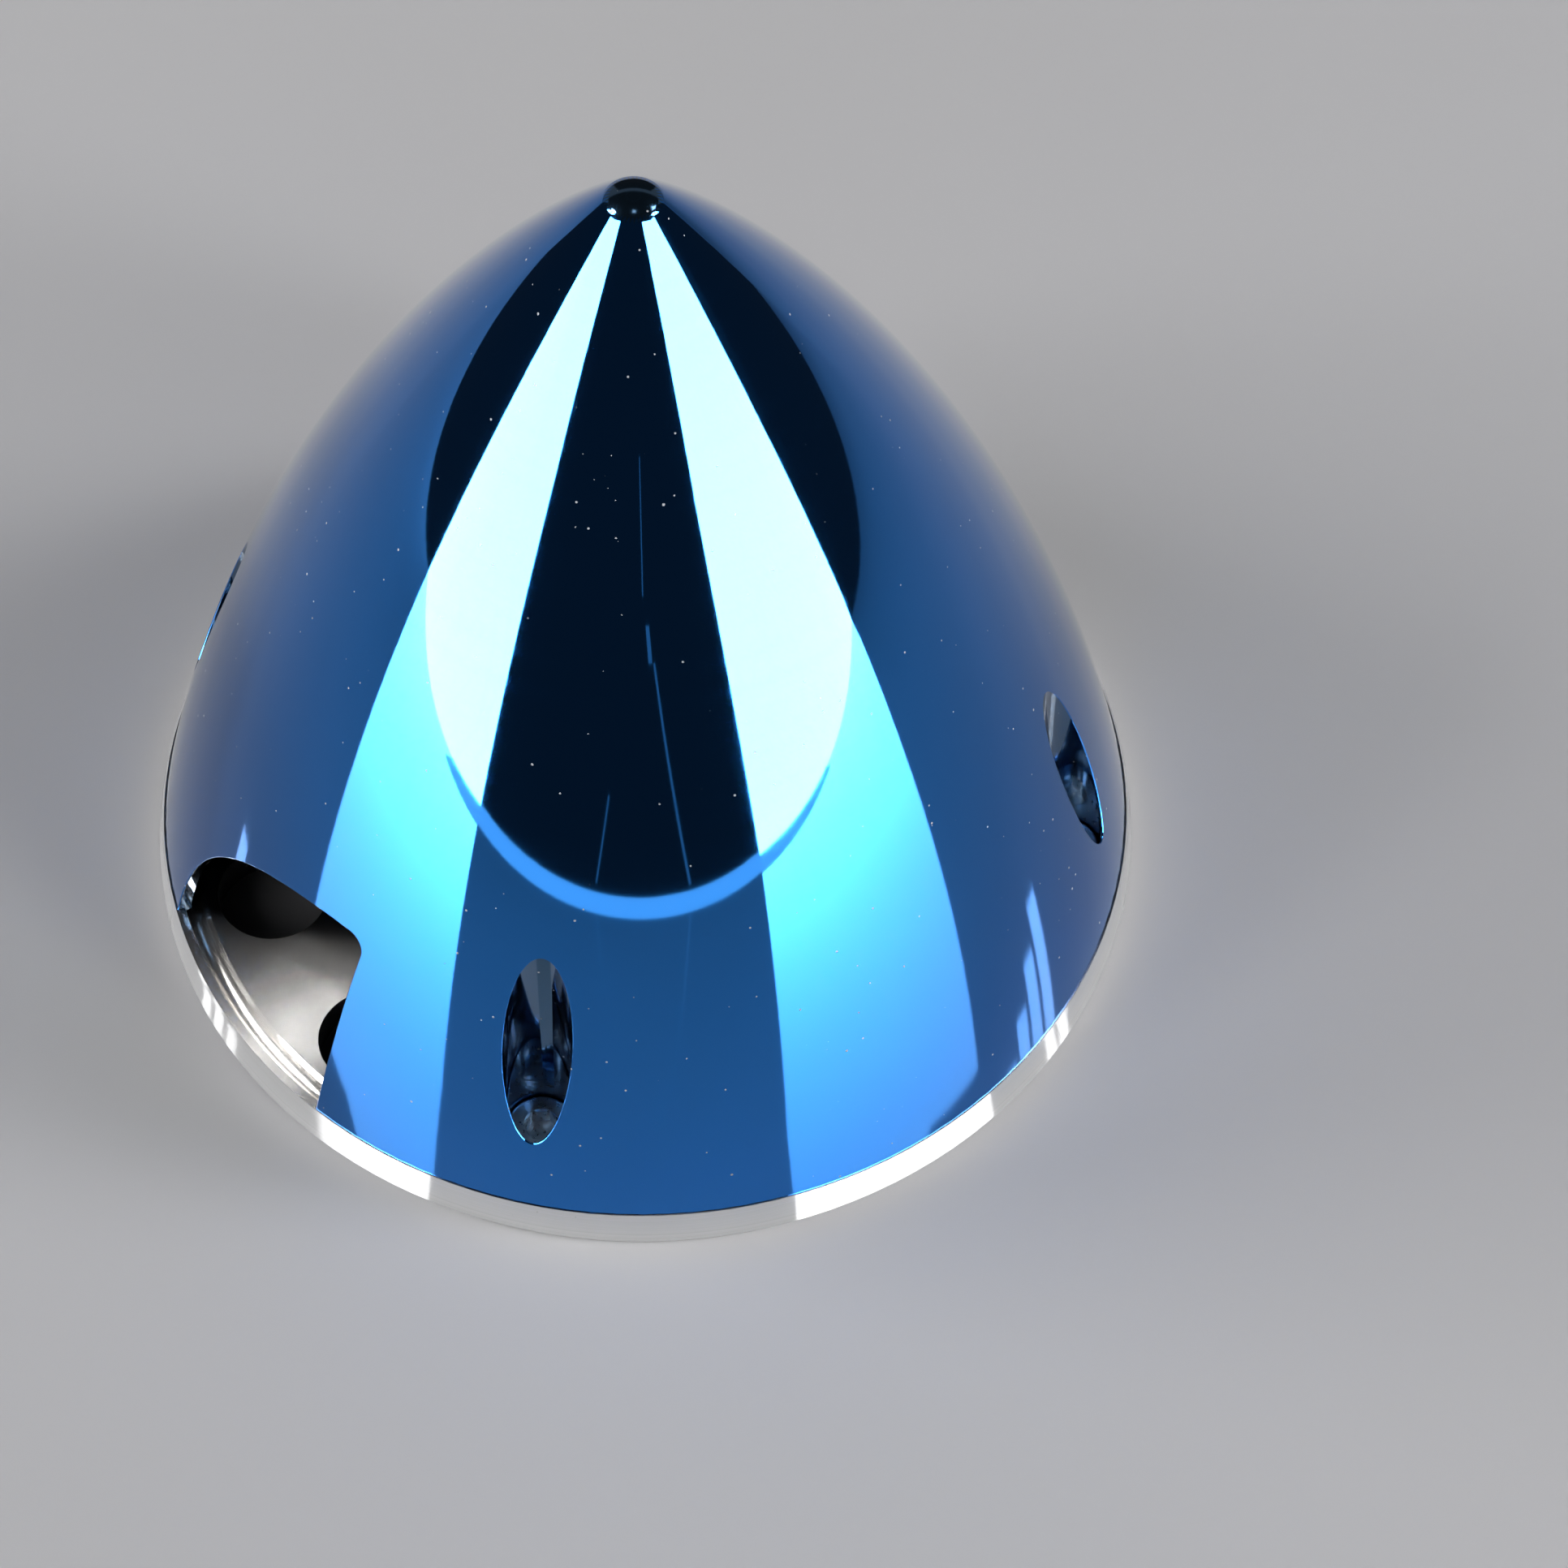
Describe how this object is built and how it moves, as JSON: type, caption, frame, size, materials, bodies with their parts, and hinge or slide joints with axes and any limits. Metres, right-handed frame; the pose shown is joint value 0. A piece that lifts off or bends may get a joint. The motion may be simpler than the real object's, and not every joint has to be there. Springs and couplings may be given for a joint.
{
  "type": "propeller spinner",
  "caption": "Hollow ogive nose cone screwed to a flat round backplate, with blade openings in its side and a central shaft bore.",
  "frame": {"origin": "centre of the backplate's rear face", "axes": "+Z along the shaft towards the nose, X across the two blade openings"},
  "size_m": [0.0824, 0.0824, 0.0824],
  "materials": {
    "anodised_cone": "polished blue anodised",
    "turned_plate": "turned, polished rim",
    "screw_steel": "plain steel"
  },
  "bodies": {
    "root": {"spinner_cone": "anodised_cone", "backplate": "turned_plate", "cap_screw_1": "screw_steel", "cap_screw_2": "screw_steel", "cap_screw_3": "screw_steel", "cap_screw_4": "screw_steel"}
  },
  "joints": []
}
